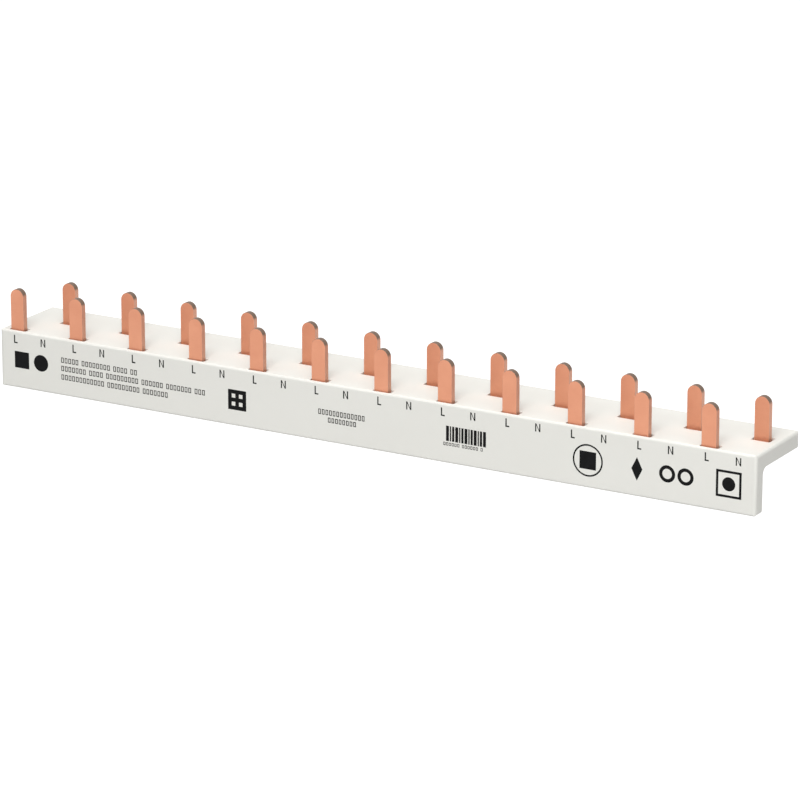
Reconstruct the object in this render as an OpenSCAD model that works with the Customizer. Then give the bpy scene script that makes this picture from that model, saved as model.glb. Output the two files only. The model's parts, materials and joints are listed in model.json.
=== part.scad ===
// Comb busbar for a row of one-module breakers with switched neutral.
// Two copper combs, line and neutral, lie in an insulating housing of L section:
// the line strip stands in the front wall, the neutral strip lies flat in the flange,
// and the pins of both stand up through slots in the flange.
//
// Frame: Z = 0 is the seat face on top of the flange, Y = 0 is the middle plane of the
// line pins and X = 0 is halfway along the row of line pins. The front looks along -Y.

/* [Modules] */
// Breakers that the busbar feeds
modules = 12; // [2:1:18]
// Width of one breaker module
pitch = 17.6; // [17.2:0.1:18]
// Step along X from a line pin to its neutral pin
neutral_step = 8.2; // [7.8:0.1:9.4]
// Distance from the outermost pin centres to the ends of the housing
end_margin = 4.7; // [4.7:0.1:7]

/* [Housing] */
// Depth of the flange, front to back
depth = 22.8; // [22:0.1:25]
// Height of the front wall, from the seat face down
height = 15; // [13:0.1:18]
// Thickness of the front wall, both skins and the strip
wall_t = 3.4; // [3.4:0.1:4]
// Thickness of the flange, both skins and the strip
flange_t = 3.9; // [3.8:0.1:4.6]
// Skin of the shell in front of the line strip
front_skin = 0.9; // [0.8:0.05:1]
// Skin of the shell above the neutral strip
top_skin = 1.1; // [0.8:0.1:1.2]
// Lips that turn the shell's free edges inward
lip = 0.9; // [0.7:0.1:1.2]
// Skin of the cover behind the line strip
rear_skin = 0.8; // [0.6:0.1:0.9]
// Skin of the cover under the neutral strip
under_skin = 1; // [0.8:0.1:1.1]
// Plate thickness of the end caps
cap_t = 1.2; // [1:0.1:1.5]

/* [Edges] */
// Rounding of the top front edge and the bottom front edge
front_r = 0.7; // [0.3:0.1:0.8]
// Rounding of the rear edges
rear_r = 0.4; // [0.2:0.1:0.6]
// Rounding of the upright edges at both ends
end_r = 0.9; // [0.5:0.1:1]
// Rounding of the ends' top and bottom edges
end_edge_r = 0.9; // [0.2:0.1:1]
// Fillet under the flange, where it meets the wall
inner_fillet = 1.8; // [1:0.1:3]

/* [Combs] */
// Thickness of the copper
copper_t = 1.6; // [1.4:0.1:1.6]
// Width of a pin
pin_w = 3.8; // [3:0.1:4]
// Height of a pin above the seat face
pin_h = 10.5; // [8:0.1:14]
// Distance between the line row and the neutral row
row_gap = 11.1; // [10.6:0.1:12]
// Height of the line strip
line_strip_w = 10; // [7:0.1:10.5]
// Inside radius of the neutral pins' bend
bend_r = 0.4; // [0.2:0.1:0.6]

/* [Slots] */
// Play to the left of a pin in its slot
left_play = 0.4; // [0.2:0.1:0.9]
// Play to the right of a pin in its slot
right_play = 0.8; // [0.2:0.1:0.9]
// Rounding of the slots' corners
slot_r = 0.4; // [0.1:0.1:0.8]
// Play in front of and behind a line pin
line_play = 0.4; // [0.2:0.1:0.5]
// Play in front of a neutral pin
neutral_front_play = 1.2; // [0.4:0.1:1.4]
// Play behind a neutral pin, where its bend comes up
neutral_rear_play = 0.7; // [0.5:0.1:1.2]

/* [Hidden] */
$fn = 64;
CUT = 1; // how far a cutting solid runs past what it cuts

// Row and housing along X
ROW = pitch * (modules - 1);
X_LEFT = -ROW / 2 - end_margin;
X_RIGHT = ROW / 2 + neutral_step + end_margin;
X_SHELL_LEFT = X_LEFT + cap_t;
X_SHELL_RIGHT = X_RIGHT - cap_t;

// Section through the housing, in Y and Z
Y_FRONT = -copper_t / 2 - front_skin;
Y_BACK = Y_FRONT + depth;
Y_WALL_BACK = Y_FRONT + wall_t;
Y_REAR_SKIN = Y_WALL_BACK - rear_skin;
Y_LIP = Y_BACK - lip;
Z_BOTTOM = -height;
Z_LIP = Z_BOTTOM + lip;
Z_UNDER = -flange_t;
Z_FLOOR = Z_UNDER + under_skin;

// Ribs of the cover: one parts the two channels, one stops the neutral strip
RIB_T = 0.8;
RIB_PLAY = 0.1;
Y_PARTING_RIB = Y_WALL_BACK + 0.4;
Y_NEUTRAL = row_gap - copper_t / 2;
Y_STOP_RIB = Y_NEUTRAL - RIB_PLAY - RIB_T;

// Snap beads on the cover's edges and the grooves they sit in
BEAD_R = 0.25;
GROOVE_R = 0.3;
BEAD_INSET = 0.45;

// Combs
STRIP_END = 0.5; // strip beyond the outermost pins
ROOT_R = 0.5; // fillet where a line pin leaves its strip
RELIEF = 0.7; // notch beside a neutral pin's bend
BEND_OUT = bend_r + copper_t;
Y_BEND = Y_NEUTRAL + BEND_OUT;
Z_BEND = Z_FLOOR + BEND_OUT;

// Tongues of the end caps
TONGUE_PLAY = 0.1;
TONGUE = 5;

// X of a pin, counted from the left
function pin_x(i, step) = -ROW / 2 + i * pitch + step;

// Extrudes a profile drawn in Y and Z along X
module along_x(x0, x1) {
    translate([x0, 0, 0]) rotate([90, 0, 90]) linear_extrude(x1 - x0) children();
}

// Extrudes an outline drawn in X and Z along Y
module along_y(y0, y1) {
    translate([0, y1, 0]) rotate([90, 0, 0]) linear_extrude(y1 - y0) children();
}

// What a round of radius r takes off a corner at the origin that opens towards +X, +Y
module round_cut(r) {
    difference() {
        translate([-CUT, -CUT]) square(r + CUT);
        translate([r, r]) circle(r);
    }
}

// The same at a point, opening towards the given signs
module round_cut_at(p, signs, r) {
    translate(p) mirror([signs.x < 0 ? 1 : 0, 0]) mirror([0, signs.y < 0 ? 1 : 0]) round_cut(r);
}

// Rectangle between two opposite corners
module box2(a, b) {
    translate(a) square(b - a);
}

// The L section's outer outline, without the fillet under the flange
module section_outline() {
    difference() {
        union() {
            box2([Y_FRONT, Z_UNDER], [Y_BACK, 0]);
            box2([Y_FRONT, Z_BOTTOM], [Y_WALL_BACK, 0]);
        }
        round_cut_at([Y_FRONT, 0], [1, -1], front_r);
        round_cut_at([Y_FRONT, Z_BOTTOM], [1, 1], front_r);
        round_cut_at([Y_BACK, 0], [-1, -1], rear_r);
        round_cut_at([Y_BACK, Z_UNDER], [-1, 1], rear_r);
        round_cut_at([Y_WALL_BACK, Z_BOTTOM], [-1, 1], rear_r);
    }
}

// Fillet in the corner under the flange
module inner_corner() {
    difference() {
        box2([Y_REAR_SKIN, Z_UNDER - inner_fillet], [Y_WALL_BACK + inner_fillet, Z_FLOOR]);
        translate([Y_WALL_BACK + inner_fillet, Z_UNDER - inner_fillet]) circle(inner_fillet);
    }
}

// The room inside the shell, open towards the inner side of the L
module shell_hollow() {
    box2([-copper_t / 2, Z_LIP], [Y_WALL_BACK + CUT, -top_skin]);
    box2([-copper_t / 2, Z_UNDER - CUT], [Y_LIP, -top_skin]);
}

// Centres of the two snap beads
BACK_BEAD = [Y_LIP, Z_UNDER + BEAD_INSET];
BOTTOM_BEAD = [Y_WALL_BACK - BEAD_INSET, Z_LIP];

module shell_section() {
    difference() {
        section_outline();
        shell_hollow();
        translate(BACK_BEAD) circle(GROOVE_R);
        translate(BOTTOM_BEAD) circle(GROOVE_R);
    }
}

module cover_section() {
    box2([Y_REAR_SKIN, Z_UNDER], [Y_LIP, Z_FLOOR]);
    box2([Y_REAR_SKIN, Z_LIP], [Y_WALL_BACK, Z_FLOOR]);
    inner_corner();
    box2([Y_PARTING_RIB, Z_FLOOR], [Y_PARTING_RIB + RIB_T, -top_skin - RIB_PLAY]);
    box2([Y_STOP_RIB, Z_FLOOR], [Y_STOP_RIB + RIB_T, -top_skin - RIB_PLAY]);
    translate(BACK_BEAD) circle(BEAD_R);
    translate(BOTTOM_BEAD) circle(BEAD_R);
}

// Outline of a slot in X and Y, around a pin at x = 0
module slot_outline(y0, y1) {
    a = [-pin_w / 2 - left_play, y0];
    b = [pin_w / 2 + right_play, y1];
    difference() {
        box2(a, b);
        round_cut_at(a, [1, 1], slot_r);
        round_cut_at([b.x, a.y], [-1, 1], slot_r);
        round_cut_at([a.x, b.y], [1, -1], slot_r);
        round_cut_at(b, [-1, -1], slot_r);
    }
}

// Slots of one row, cut through the top skin
module slots(step, y0, y1) {
    for (i = [0 : modules - 1])
        translate([pin_x(i, step), 0, -top_skin - CUT])
            linear_extrude(top_skin + 2 * CUT) slot_outline(y0, y1);
}

// Outer shell: front wall, top of the flange and the two lips
module housing_shell() color("whitesmoke") {
    line_half = copper_t / 2 + line_play;
    difference() {
        along_x(X_SHELL_LEFT, X_SHELL_RIGHT) shell_section();
        slots(0, -line_half, line_half);
        slots(neutral_step, Y_NEUTRAL - neutral_front_play,
              Y_NEUTRAL + copper_t + neutral_rear_play);
    }
}

// Inner cover: snaps in from behind and closes both channels
module housing_cover() color("gainsboro") {
    along_x(X_SHELL_LEFT, X_SHELL_RIGHT) cover_section();
}

// Pin outline in X and Z with a full round top, its foot at z0
module pin_outline(z0) {
    translate([-pin_w / 2, z0]) square([pin_w, pin_h - pin_w / 2 - z0]);
    translate([0, pin_h - pin_w / 2]) circle(pin_w / 2);
}

// Fillets on both sides of a line pin's foot, where it leaves the strip at z0
module pin_root(z0) {
    for (side = [0, 1]) mirror([side, 0]) translate([pin_w / 2, z0])
        difference() {
            square(ROOT_R);
            translate([ROOT_R, ROOT_R]) circle(ROOT_R);
        }
}

// Line comb: a flat stamping that stands on edge in the front wall
module line_comb() color("darksalmon") {
    z_top = Z_LIP + line_strip_w;
    x_end = ROW / 2 + pin_w / 2 + STRIP_END;
    along_y(-copper_t / 2, copper_t / 2) {
        box2([-x_end, Z_LIP], [x_end, z_top]);
        for (i = [0 : modules - 1]) translate([pin_x(i, 0), 0]) {
            pin_outline(z_top);
            pin_root(z_top);
        }
    }
}

// Section through a neutral pin's bend, in Y and Z
module bend_section() {
    intersection() {
        difference() {
            translate([Y_BEND, Z_BEND]) circle(BEND_OUT);
            translate([Y_BEND, Z_BEND]) circle(bend_r);
        }
        box2([Y_NEUTRAL, Z_FLOOR], [Y_BEND, Z_BEND]);
    }
}

// Neutral comb: its strip lies flat and each pin is bent up out of a notch in its front edge
module neutral_comb() color("darksalmon") {
    x_end = pin_w / 2 + STRIP_END + RELIEF;
    notch_w = pin_w + 2 * RELIEF;
    difference() {
        translate([pin_x(0, neutral_step) - x_end, Y_NEUTRAL, Z_FLOOR])
            cube([ROW + 2 * x_end, Y_LIP - Y_NEUTRAL, copper_t]);
        for (i = [0 : modules - 1])
            translate([pin_x(i, neutral_step) - notch_w / 2, Y_NEUTRAL - CUT, Z_FLOOR - CUT])
                cube([notch_w, Y_BEND - Y_NEUTRAL + CUT, copper_t + 2 * CUT]);
    }
    for (i = [0 : modules - 1]) {
        x = pin_x(i, neutral_step);
        along_x(x - pin_w / 2, x + pin_w / 2) bend_section();
        along_y(Y_NEUTRAL, Y_NEUTRAL + copper_t) translate([x, 0]) pin_outline(Z_BEND);
    }
}

// Plate of an end cap, drawn as the left one from x = 0 (outside) to x = cap_t
module cap_plate() {
    intersection() {
        along_x(0, cap_t) {
            section_outline();
            inner_corner();
        }
        translate([0, 0, Z_BOTTOM - CUT]) linear_extrude(height + 2 * CUT) difference() {
            box2([0, Y_FRONT], [cap_t, Y_BACK]);
            round_cut_at([0, Y_FRONT], [1, 1], end_r);
            round_cut_at([0, Y_BACK], [1, -1], end_r);
        }
        along_y(Y_FRONT - CUT, Y_BACK + CUT) difference() {
            box2([0, Z_BOTTOM], [cap_t, 0]);
            round_cut_at([0, 0], [1, -1], end_edge_r);
            round_cut_at([0, Z_BOTTOM], [1, 1], end_edge_r);
        }
    }
}

// Tongue that fits the empty middle of the flange, running inward from x = cap_t
module middle_tongue() {
    y0 = Y_PARTING_RIB + RIB_T + TONGUE_PLAY;
    translate([cap_t, y0, Z_FLOOR])
        cube([TONGUE, Y_STOP_RIB - TONGUE_PLAY - y0, -top_skin - TONGUE_PLAY - Z_FLOOR]);
}

// Left cap: its second tongue fills the flange's rear channel, short of the neutral strip
module left_end_cap() color("white") translate([X_LEFT, 0, 0]) {
    cap_plate();
    middle_tongue();
    translate([cap_t, Y_STOP_RIB + RIB_T + TONGUE_PLAY, Z_FLOOR])
        cube([TONGUE, Y_LIP - Y_NEUTRAL - TONGUE_PLAY, copper_t]);
}

// Right cap: its second tongue fills the wall's channel, past the end of the line strip
module right_end_cap() color("white") translate([X_RIGHT, 0, 0]) mirror([1, 0, 0]) {
    cap_plate();
    middle_tongue();
    translate([cap_t, -copper_t / 2, Z_LIP]) cube([TONGUE, copper_t, line_strip_w]);
}

housing_shell();
housing_cover();
line_comb();
neutral_comb();
left_end_cap();
right_end_cap();
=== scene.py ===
"""Looks of a comb busbar: moulded white housing, stamped copper combs and the print on its front wall.

Everything is in metres, in the frame of the CAD part: z = 0 is the seat face on top of the
flange, y = 0 the middle plane of the line pins, and the front looks along -Y.
"""

import itertools
import json
import math

import bmesh
import bpy
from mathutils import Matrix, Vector


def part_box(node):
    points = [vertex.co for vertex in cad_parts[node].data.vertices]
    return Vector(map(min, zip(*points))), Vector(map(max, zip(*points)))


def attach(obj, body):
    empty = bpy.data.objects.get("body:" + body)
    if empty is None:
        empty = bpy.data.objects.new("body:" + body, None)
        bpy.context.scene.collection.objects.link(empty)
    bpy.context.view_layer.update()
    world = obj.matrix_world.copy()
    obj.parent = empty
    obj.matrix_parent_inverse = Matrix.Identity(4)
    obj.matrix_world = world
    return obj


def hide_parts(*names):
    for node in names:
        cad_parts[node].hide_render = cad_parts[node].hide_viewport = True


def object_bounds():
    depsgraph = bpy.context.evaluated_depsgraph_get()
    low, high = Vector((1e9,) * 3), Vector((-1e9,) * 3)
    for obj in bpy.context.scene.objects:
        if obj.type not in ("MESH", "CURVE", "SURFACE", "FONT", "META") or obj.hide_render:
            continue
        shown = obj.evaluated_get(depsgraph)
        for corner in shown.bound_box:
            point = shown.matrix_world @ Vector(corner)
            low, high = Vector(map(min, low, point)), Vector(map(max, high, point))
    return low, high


MM = 0.001

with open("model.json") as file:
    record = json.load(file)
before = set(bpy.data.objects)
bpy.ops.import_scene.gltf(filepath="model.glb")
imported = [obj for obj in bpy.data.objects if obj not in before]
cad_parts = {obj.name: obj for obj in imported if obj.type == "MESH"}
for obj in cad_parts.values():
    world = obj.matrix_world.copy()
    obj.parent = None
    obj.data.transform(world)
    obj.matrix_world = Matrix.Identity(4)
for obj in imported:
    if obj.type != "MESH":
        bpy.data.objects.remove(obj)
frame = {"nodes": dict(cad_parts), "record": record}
bpy.context.view_layer.update()
CAD_LOW, CAD_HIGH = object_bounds()

# ---------------------------------------------------------------- sizes from the frame

SHELL_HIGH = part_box("housing_shell")[1]
MOUNTS = {m["name"]: Vector(m["pos_m"]) for m in frame["record"]["mounts"]}

# Repeated from the CAD part
MODULES = 12
PITCH = 17.6 * MM
WALL_T = 3.4 * MM
FLANGE_T = 3.9 * MM

NEUTRAL_STEP = MOUNTS["neutral_pins"].x
Y_FRONT = CAD_LOW.y
Y_BACK = CAD_HIGH.y
Z_TOP = SHELL_HIGH.z
Z_BOTTOM = CAD_LOW.z

# The shell's front is set back by a hair, so that the ink on it stays inside the part's box
INK_T = 0.012 * MM
INK_OUT = Y_FRONT + 0.001 * MM
INK_IN = Y_FRONT + 0.05 * MM


def pin_x(i, step=0.0):
    """Place along X of line pin i, or of its neutral pin with step=NEUTRAL_STEP."""
    return (i - (MODULES - 1) / 2) * PITCH + step


# ---------------------------------------------------------------- camera

CAMERA_AZIMUTH = 29.985
CAMERA_ELEVATION = 17.116
CAMERA_DISTANCE = 1.173
CAMERA_TARGET = Vector((14.646, -1.8, -1.035)) * MM
CAMERA_LENS = 219.84


def make_camera():
    data = bpy.data.cameras.new("camera")
    data.lens = CAMERA_LENS
    data.sensor_width = 36
    data.clip_start = 0.01
    data.clip_end = 50
    camera = bpy.data.objects.new("camera", data)
    azimuth = math.radians(CAMERA_AZIMUTH)
    elevation = math.radians(CAMERA_ELEVATION)
    back = Vector((math.sin(azimuth) * math.cos(elevation),
                   -math.cos(azimuth) * math.cos(elevation),
                   math.sin(elevation)))
    camera.location = CAMERA_TARGET + back * CAMERA_DISTANCE
    camera.rotation_mode = "QUATERNION"
    camera.rotation_quaternion = (-back).to_track_quat("-Z", "Y")
    bpy.context.scene.collection.objects.link(camera)
    bpy.context.scene.camera = camera


# ---------------------------------------------------------------- node helpers


# A mix node lists its sockets once for each type; these are the ones for colours
MIX_A, MIX_B, MIX_RESULT = 6, 7, 2


class Nodes:
    """A material's node tree, with short calls for the nodes that are used here."""

    def __init__(self, name):
        self.material = bpy.data.materials.new(name)
        self.material.use_nodes = True
        self.tree = self.material.node_tree
        self.tree.nodes.clear()
        self.output = self.tree.nodes.new("ShaderNodeOutputMaterial")
        self.shader = self.tree.nodes.new("ShaderNodeBsdfPrincipled")
        self.link(self.shader.outputs["BSDF"], self.output.inputs["Surface"])
        self.position = self.tree.nodes.new("ShaderNodeTexCoord").outputs["Object"]

    def link(self, source, target):
        self.tree.links.new(source, target)

    def set(self, **values):
        """Constants on the shader, with _ for a blank in a socket's name."""
        for name, value in values.items():
            self.shader.inputs[name.replace("_", " ")].default_value = value

    def stretched(self, scale):
        """Object position times a scale along each axis."""
        mapping = self.tree.nodes.new("ShaderNodeMapping")
        mapping.inputs["Scale"].default_value = scale
        self.link(self.position, mapping.inputs["Vector"])
        return mapping.outputs["Vector"]

    def noise(self, scale, detail=3.0, roughness=0.55):
        """Noise with a scale per metre along each axis."""
        node = self.tree.nodes.new("ShaderNodeTexNoise")
        node.inputs["Scale"].default_value = 1.0
        node.inputs["Detail"].default_value = detail
        node.inputs["Roughness"].default_value = roughness
        self.link(self.stretched(scale), node.inputs["Vector"])
        return node.outputs["Fac"]

    def ramp(self, value, low, high, start=0.3, end=0.7):
        """Colour or grey value that goes from low to high as value goes from start to end."""
        node = self.tree.nodes.new("ShaderNodeValToRGB")
        first, last = node.color_ramp.elements
        first.position, last.position = start, end
        first.color = low if isinstance(low, tuple) else (low, low, low, 1)
        last.color = high if isinstance(high, tuple) else (high, high, high, 1)
        self.link(value, node.inputs["Fac"])
        return node.outputs["Color"]

    def mix(self, amount, a, b):
        """Colour a where amount is 0 and b where it is 1."""
        node = self.tree.nodes.new("ShaderNodeMix")
        node.data_type = "RGBA"
        self.link(amount, node.inputs["Factor"])
        for value, socket in ((a, node.inputs[MIX_A]), (b, node.inputs[MIX_B])):
            if isinstance(value, tuple):
                socket.default_value = value
            else:
                self.link(value, socket)
        return node.outputs[MIX_RESULT]

    def bump(self, height, distance, strength=1.0, under=None):
        """Bump of a height over the given distance, on top of an earlier bump."""
        node = self.tree.nodes.new("ShaderNodeBump")
        node.inputs["Distance"].default_value = distance
        node.inputs["Strength"].default_value = strength
        self.link(height, node.inputs["Height"])
        if under:
            self.link(under, node.inputs["Normal"])
        return node.outputs["Normal"]


def rgb(red, green, blue):
    return (red, green, blue, 1.0)


def background_rays(tree):
    """1 for the rays that show the background: from the camera, off metal or through glass."""
    rays = tree.nodes.new("ShaderNodeLightPath")
    value = rays.outputs["Is Camera Ray"]
    for name in ("Is Glossy Ray", "Is Transmission Ray"):
        either = tree.nodes.new("ShaderNodeMath")
        either.operation = "MAXIMUM"
        tree.links.new(value, either.inputs[0])
        tree.links.new(rays.outputs[name], either.inputs[1])
        value = either.outputs["Value"]
    return value


# ---------------------------------------------------------------- materials


def housing_material():
    """Off-white moulded plastic: faint spark-eroded grain, faint lines along the extrusion."""
    n = Nodes("housing_plastic")
    cloud = n.noise((14, 40, 40), detail=2)
    n.link(n.ramp(cloud, rgb(0.795, 0.79, 0.742), rgb(0.822, 0.815, 0.768)), n.shader.inputs["Base Color"])
    grain = n.noise((5200, 5200, 5200), detail=2)
    n.link(n.ramp(grain, 0.52, 0.6), n.shader.inputs["Roughness"])
    lines = n.noise((18, 2600, 2600), detail=2)
    smooth = n.bump(lines, 0.004 * MM, 0.5)
    n.link(n.bump(grain, 0.006 * MM, 0.6, smooth), n.shader.inputs["Normal"])
    n.set(Specular_IOR_Level=0.35)
    return n.material


def copper_face_material():
    """Rolled face of the copper strip: matt, with fine rolling marks along the strip."""
    n = Nodes("copper_rolled_face")
    marks = n.noise((500, 500, 9000), detail=4)
    cloud = n.noise((160, 160, 160), detail=3)
    tone = n.ramp(cloud, rgb(0.665, 0.282, 0.167), rgb(0.715, 0.317, 0.19))
    n.link(tone, n.shader.inputs["Base Color"])
    n.link(n.ramp(marks, 0.4, 0.52), n.shader.inputs["Roughness"])
    n.link(n.bump(marks, 0.004 * MM, 0.4), n.shader.inputs["Normal"])
    n.set(Metallic=0.55)
    return n.material


def copper_edge_material():
    """Sheared edge of the copper: bare on the pins' sides, with painted shade turning it dark brown over
    their tops.
    """
    n = Nodes("copper_sheared_edge_painted_shade")
    marks = n.noise((7000, 300, 7000), detail=3)
    bare = n.ramp(marks, rgb(0.56, 0.29, 0.2), rgb(0.64, 0.335, 0.232))
    # Painted shade: a dark brown for the sheared edge where it faces upward, over the pins' round tops, in
    # place of a dark reflection
    painted_shade_tone = n.ramp(marks, rgb(0.15, 0.1, 0.072), rgb(0.22, 0.147, 0.105))
    upward = n.tree.nodes.new("ShaderNodeSeparateXYZ")
    n.link(n.tree.nodes.new("ShaderNodeTexCoord").outputs["Normal"], upward.inputs["Vector"])
    # Where the painted shade goes: 0 on the upright sides, 1 where the edge faces up
    painted_shade_mask = n.ramp(upward.outputs["Z"], 0.0, 1.0, 0.05, 0.35)
    n.link(n.mix(painted_shade_mask, bare, painted_shade_tone), n.shader.inputs["Base Color"])
    n.link(n.ramp(marks, 0.4, 0.55), n.shader.inputs["Roughness"])
    n.link(n.bump(marks, 0.01 * MM, 0.5), n.shader.inputs["Normal"])
    n.set(Metallic=0.6)
    return n.material


def ink_material():
    """Black pad-printed ink, a little uneven."""
    n = Nodes("black_ink")
    patchy = n.noise((900, 900, 900), detail=3)
    n.link(n.ramp(patchy, rgb(0.004, 0.004, 0.004), rgb(0.01, 0.01, 0.011)), n.shader.inputs["Base Color"])
    n.link(n.ramp(patchy, 0.6, 0.75), n.shader.inputs["Roughness"])
    n.set(Specular_IOR_Level=0.08)
    return n.material


# ---------------------------------------------------------------- dressed solids

SHARP = math.radians(35)  # edges over this angle are broken
FLAT = math.radians(0.5)  # faces within this angle become one
WELD = 0.0005 * MM  # vertices this close become one
SEGMENTS = 3  # strips of faces along each broken edge
PROBE = 0.3 * MM  # step off a face, to see whether it looks outward
NEAR_TOP = 0.01 * MM

CRISP_R = 0.025 * MM  # on the top face
SEAM_R = 0.06 * MM  # elsewhere on the shell and the caps
COVER_R = 0.1 * MM  # on the cover
COINED_R = 0.1 * MM  # on the copper


def solid_copy(node):
    """The node's solid as a clean bmesh: welded, with its flat faces whole again."""
    bm = bmesh.new()
    bm.from_mesh(frame["nodes"][node].data)
    bmesh.ops.remove_doubles(bm, verts=bm.verts, dist=WELD)
    bmesh.ops.dissolve_limit(bm, angle_limit=FLAT, verts=bm.verts, edges=bm.edges,
                             use_dissolve_boundaries=False)
    bm.normal_update()
    return bm


def sharp_edges(bm, wanted):
    return [e for e in bm.edges
            if len(e.link_faces) == 2 and e.calc_face_angle(0) > SHARP and wanted(e)]


def finish_piece(bm, name, node, materials):
    """Object from a bmesh, smooth over its roundings and flat on its faces."""
    mesh = bpy.data.meshes.new(name)
    for face in bm.faces:
        face.smooth = True
    bm.to_mesh(mesh)
    bm.free()
    for material in materials:
        mesh.materials.append(material)
    mesh.set_sharp_from_angle(angle=SHARP)
    piece = bpy.data.objects.new(name, mesh)
    bpy.context.scene.collection.objects.link(piece)
    weighted = piece.modifiers.new("flat faces stay flat", "WEIGHTED_NORMAL")
    weighted.keep_sharp = True
    weighted.weight = 100
    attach(piece, "root")
    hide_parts(node)


def outside_section(y, z):
    """True outside the L section of the housing."""
    in_flange = Y_FRONT < y < Y_BACK and Z_TOP - FLANGE_T < z < Z_TOP
    in_wall = Y_FRONT < y < Y_FRONT + WALL_T and Z_BOTTOM < z < Z_TOP
    return not (in_flange or in_wall)


def is_skin(face):
    """True for a face on the outside of the housing, other than at its ends."""
    probe = face.calc_center_median() + face.normal * PROBE
    return abs(face.normal.x) < 0.5 and outside_section(probe.y, probe.z)


def on_skin(edge):
    return any(is_skin(f) for f in edge.link_faces)


def on_top(edge):
    """True for an edge of the top face: a slot's rim, or the seam at a cap."""
    return all(v.co.z > Z_TOP - NEAR_TOP for v in edge.verts)


def dressed_housing(node, name, material, edge_r, front=Y_FRONT):
    """A part of the housing with its outer sharp edges broken, and those on top kept crisp."""
    bm = solid_copy(node)
    for wanted, offset in ((on_top, CRISP_R), (on_skin, edge_r)):
        bmesh.ops.bevel(bm, geom=sharp_edges(bm, wanted), offset=offset, segments=SEGMENTS,
                        profile=0.5, affect="EDGES", clamp_overlap=True)
    for vert in bm.verts:
        vert.co.y = max(vert.co.y, front)
    finish_piece(bm, name, node, [material])


def is_sheared(face, strip_top):
    """True for a face that the die cut: beside or on top of a pin, or around the strip."""
    if face.calc_center_median().z > strip_top:
        return abs(face.normal.y) < 0.5
    return abs(face.normal.x) > 0.5


def dressed_comb(node, name, face_material, edge_material, strip_top):
    """A comb with coined edges: rolled faces and darker sheared edges."""
    bm = solid_copy(node)
    for face in bm.faces:
        face.material_index = int(is_sheared(face, strip_top))
    bmesh.ops.bevel(bm, geom=sharp_edges(bm, lambda e: True), offset=COINED_R, segments=SEGMENTS,
                    profile=0.5, affect="EDGES", clamp_overlap=True, material=-1)
    finish_piece(bm, name, node, [face_material, edge_material])


# ---------------------------------------------------------------- print

DISC_SIDES = 48
RING_SIDES = 64


class Print:
    """Flat ink shapes on the front wall, drawn in X and Z in millimetres."""

    def __init__(self):
        self.bm = bmesh.new()

    def shape(self, points):
        """One convex shape, sunk a little into the wall."""
        outer = [self.bm.verts.new((x * MM, INK_OUT, z * MM)) for x, z in points]
        inner = [self.bm.verts.new((x * MM, INK_IN, z * MM)) for x, z in points]
        self.bm.faces.new(outer)
        self.bm.faces.new(inner)
        for i in range(len(points)):
            self.bm.faces.new((outer[i - 1], outer[i], inner[i], inner[i - 1]))

    def bar(self, x0, x1, z0, z1):
        self.shape([(x0, z0), (x1, z0), (x1, z1), (x0, z1)])

    def square(self, x, z, side):
        self.bar(x - side / 2, x + side / 2, z - side / 2, z + side / 2)

    def lozenge(self, x, z, w, h):
        self.shape([(x - w / 2, z), (x, z - h / 2), (x + w / 2, z), (x, z + h / 2)])

    def frame(self, x0, x1, z0, z1, line):
        """Outline of a rectangle, in four bars."""
        self.bar(x0, x0 + line, z0, z1)
        self.bar(x1 - line, x1, z0, z1)
        self.bar(x0 + line, x1 - line, z0, z0 + line)
        self.bar(x0 + line, x1 - line, z1 - line, z1)

    def disc(self, x, z, radius):
        turns = [math.tau * i / DISC_SIDES for i in range(DISC_SIDES)]
        self.shape([(x + radius * math.cos(t), z + radius * math.sin(t)) for t in turns])

    def ring(self, x, z, radius, line):
        turns = [math.tau * i / RING_SIDES for i in range(RING_SIDES + 1)]
        for a, b in zip(turns, turns[1:]):
            corners = ((a, radius - line), (a, radius), (b, radius), (b, radius - line))
            self.shape([(x + r * math.cos(t), z + r * math.sin(t)) for t, r in corners])

    def letter_l(self, x, z, w, h, line):
        self.bar(x - w / 2, x - w / 2 + line, z - h / 2, z + h / 2)
        self.bar(x - w / 2 + line, x + w / 2, z - h / 2, z - h / 2 + line)

    def letter_n(self, x, z, w, h, line):
        left, right, low, high = x - w / 2, x + w / 2, z - h / 2, z + h / 2
        slant = 1.3 * line
        self.bar(left, left + line, low, high)
        self.bar(right - line, right, low, high)
        self.shape([(left + line, high - slant), (right - line, low),
                    (right - line, low + slant), (left + line, high)])

    def words(self, x0, x1, z, lengths, h=1.35, w=0.78, line=0.2):
        """Blank boxes from x0 to x1, in groups of the given lengths, where small print would be."""
        x = x0
        step = w + 1.5 * line
        gap = 0.7 * step
        for length in itertools.cycle(lengths):
            for _ in range(length):
                if x + w > x1:
                    return
                self.frame(x, x + w, z - h / 2, z + h / 2, line)
                x += step
            x += gap

    def finish(self, name, material):
        bmesh.ops.recalc_face_normals(self.bm, faces=self.bm.faces)
        mesh = bpy.data.meshes.new(name)
        self.bm.to_mesh(mesh)
        self.bm.free()
        mesh.materials.append(material)
        piece = bpy.data.objects.new(name, mesh)
        bpy.context.scene.collection.objects.link(piece)
        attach(piece, "root")


def conductor_letters(material):
    """L below each line pin and N below its neutral pin."""
    ink = Print()
    for i in range(MODULES):
        ink.letter_l(pin_x(i) / MM, z=-2.2, w=1.05, h=2.1, line=0.33)
        ink.letter_n(pin_x(i, NEUTRAL_STEP) / MM, z=-2.15, w=1.4, h=2.0, line=0.31)
    ink.finish("conductor_letters", material)


def square_with_windows(ink, x0, z0, cell_w, cell_h):
    """A square of 5 by 5 cells, with four of them left open."""
    for i in range(5):
        for j in range(5):
            if i % 2 == 0 or j % 2 == 0:
                x, z = x0 + cell_w * i, z0 + cell_h * j
                ink.bar(x, x + cell_w, z, z + cell_h)


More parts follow.
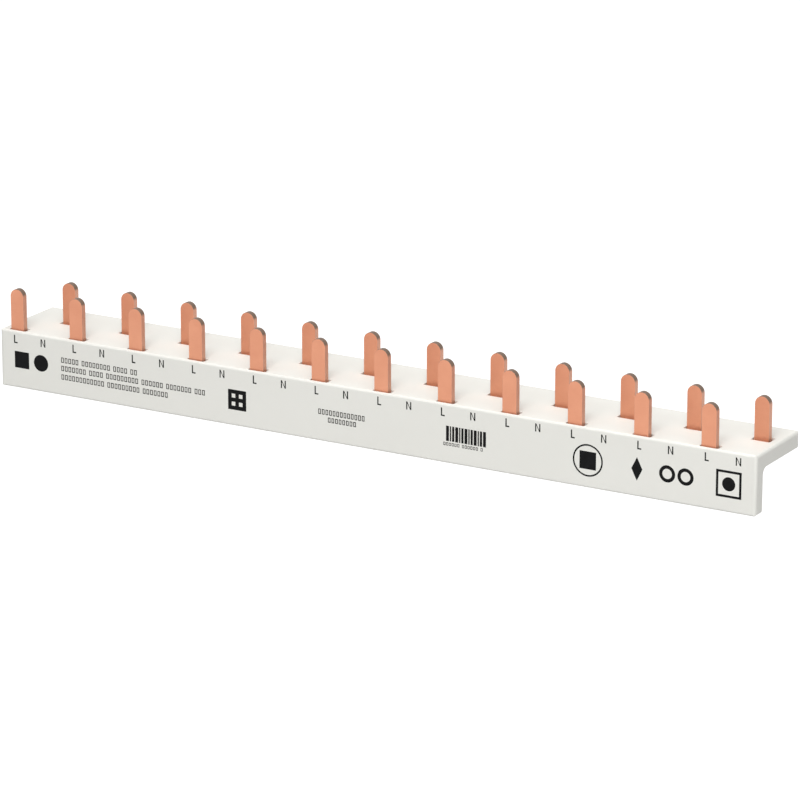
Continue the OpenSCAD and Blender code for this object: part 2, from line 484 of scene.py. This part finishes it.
def upright_bars(ink, x0, z0, z1):
    """Thirteen bars in a plain rhythm of three widths."""
    x = x0
    for _, w in zip(range(13), itertools.cycle((0.8, 0.35, 0.6))):
        ink.bar(x, x + w, z0, z1)
        x += w + 0.26


def blank_marks(material):
    """Plain shapes of the same size and weight where the front wall carries its marks."""
    ink = Print()

    # In place of a name: a square and a disc
    ink.square(x=-95.05, z=-7.45, side=4.3)
    ink.disc(x=-89.3, z=-7.45, radius=2.15)

    # Three lines of small print
    ink.words(-83.2, -59.7, z=-5.65, lengths=(5, 8, 4))
    ink.words(-83.2, -40.8, z=-7.8, lengths=(7, 4, 9, 6))
    ink.words(-83.2, -51.6, z=-10.05, lengths=(12, 9))

    square_with_windows(ink, x0=-34.1, z0=-10.8, cell_w=1.04, cell_h=1.03)

    # Two lines of small print, one group each
    ink.words(-8.3, 5.0, z=-7.4, lengths=(20,), w=0.72)
    ink.words(-5.6, 2.5, z=-9.25, lengths=(20,), h=1.25, w=0.72)

    upright_bars(ink, x0=27.3, z0=-9.3, z1=-5.5)
    ink.words(26.6, 37.8, z=-10.05, lengths=(6, 6), h=0.8, w=0.55, line=0.14)

    # The row of large marks towards the right end
    ink.ring(x=65.65, z=-8.1, radius=4.0, line=0.4)
    ink.square(x=65.65, z=-8.1, side=4.4)
    ink.lozenge(x=78.65, z=-8.1, w=2.9, h=5.8)
    for x in (86.6, 91.4):
        ink.ring(x, z=-8.05, radius=2.1, line=0.85)
    ink.frame(99.3, 105.9, -11.3, -4.7, line=0.6)
    ink.disc(x=102.6, z=-8.0, radius=1.7)
    ink.finish("blank_marks", material)


# ---------------------------------------------------------------- surroundings


FLOOR_DROP = 120 * MM  # below the part
FLOOR_HALF = 6.0  # half its width
WORLD_LIGHT = 0.245


def floor_material():
    """Pale floor that reads as white and keeps a soft shadow."""
    n = Nodes("pale_floor")
    n.set(Base_Color=rgb(0.6, 0.6, 0.6), Roughness=0.9)
    glow = n.tree.nodes.new("ShaderNodeEmission")
    glow.inputs["Strength"].default_value = 0.75
    add = n.tree.nodes.new("ShaderNodeAddShader")
    n.link(n.shader.outputs["BSDF"], add.inputs[0])
    n.link(glow.outputs["Emission"], add.inputs[1])
    choose = n.tree.nodes.new("ShaderNodeMixShader")
    n.link(background_rays(n.tree), choose.inputs["Fac"])
    n.link(n.shader.outputs["BSDF"], choose.inputs[1])
    n.link(add.outputs["Shader"], choose.inputs[2])
    n.link(choose.outputs["Shader"], n.output.inputs["Surface"])
    return n.material


def make_floor():
    bm = bmesh.new()
    bmesh.ops.create_grid(bm, x_segments=1, y_segments=1, size=FLOOR_HALF)
    mesh = bpy.data.meshes.new("floor")
    bm.to_mesh(mesh)
    bm.free()
    mesh.materials.append(floor_material())
    floor = bpy.data.objects.new("floor", mesh)
    floor.location.z = Z_BOTTOM - FLOOR_DROP
    bpy.context.scene.collection.objects.link(floor)


def make_world():
    """Even pale light, seen as plain white."""
    world = bpy.data.worlds.new("studio")
    world.use_nodes = True
    tree = world.node_tree
    tree.nodes.clear()
    output = tree.nodes.new("ShaderNodeOutputWorld")
    light = tree.nodes.new("ShaderNodeBackground")
    light.inputs["Color"].default_value = rgb(1, 1, 1)
    light.inputs["Strength"].default_value = WORLD_LIGHT
    seen = tree.nodes.new("ShaderNodeBackground")
    seen.inputs["Color"].default_value = rgb(1, 1, 1)
    choose = tree.nodes.new("ShaderNodeMixShader")
    tree.links.new(background_rays(tree), choose.inputs["Fac"])
    tree.links.new(light.outputs["Background"], choose.inputs[1])
    tree.links.new(seen.outputs["Background"], choose.inputs[2])
    tree.links.new(choose.outputs["Shader"], output.inputs["Surface"])
    bpy.context.scene.world = world


def make_lamp(name, azimuth, elevation, distance, size, power):
    """Square soft lamp that looks at the part from the given side."""
    data = bpy.data.lights.new(name, "AREA")
    data.shape = "SQUARE"
    data.size = size
    data.energy = power
    lamp = bpy.data.objects.new(name, data)
    a, e = math.radians(azimuth), math.radians(elevation)
    back = Vector((math.sin(a) * math.cos(e), -math.cos(a) * math.cos(e), math.sin(e)))
    lamp.location = CAMERA_TARGET + back * distance
    lamp.rotation_mode = "QUATERNION"
    lamp.rotation_quaternion = (-back).to_track_quat("-Z", "Y")
    bpy.context.scene.collection.objects.link(lamp)


# ---------------------------------------------------------------- the scene

make_camera()
make_world()
make_floor()
make_lamp("key", azimuth=18, elevation=42, distance=1.1, size=0.7, power=6.95)
make_lamp("overhead", azimuth=-20, elevation=82, distance=0.9, size=0.9, power=5.3)
make_lamp("side", azimuth=68, elevation=20, distance=1.2, size=0.5, power=1.95)

plastic = housing_material()
rolled = copper_face_material()
sheared = copper_edge_material()
ink = ink_material()

dressed_housing("housing_shell", "shell", plastic, SEAM_R, front=Y_FRONT + INK_T)
dressed_housing("housing_cover", "cover", plastic, COVER_R)
dressed_housing("left_end_cap", "left_cap", plastic, SEAM_R)
dressed_housing("right_end_cap", "right_cap", plastic, SEAM_R)
dressed_comb("line_comb", "line_busbar", rolled, sheared, strip_top=Z_TOP - FLANGE_T)
dressed_comb("neutral_comb", "neutral_busbar", rolled, sheared, strip_top=Z_TOP - FLANGE_T / 2)
conductor_letters(ink)
blank_marks(ink)

bpy.context.scene.view_settings.view_transform = "Standard"

bpy.context.view_layer.update()
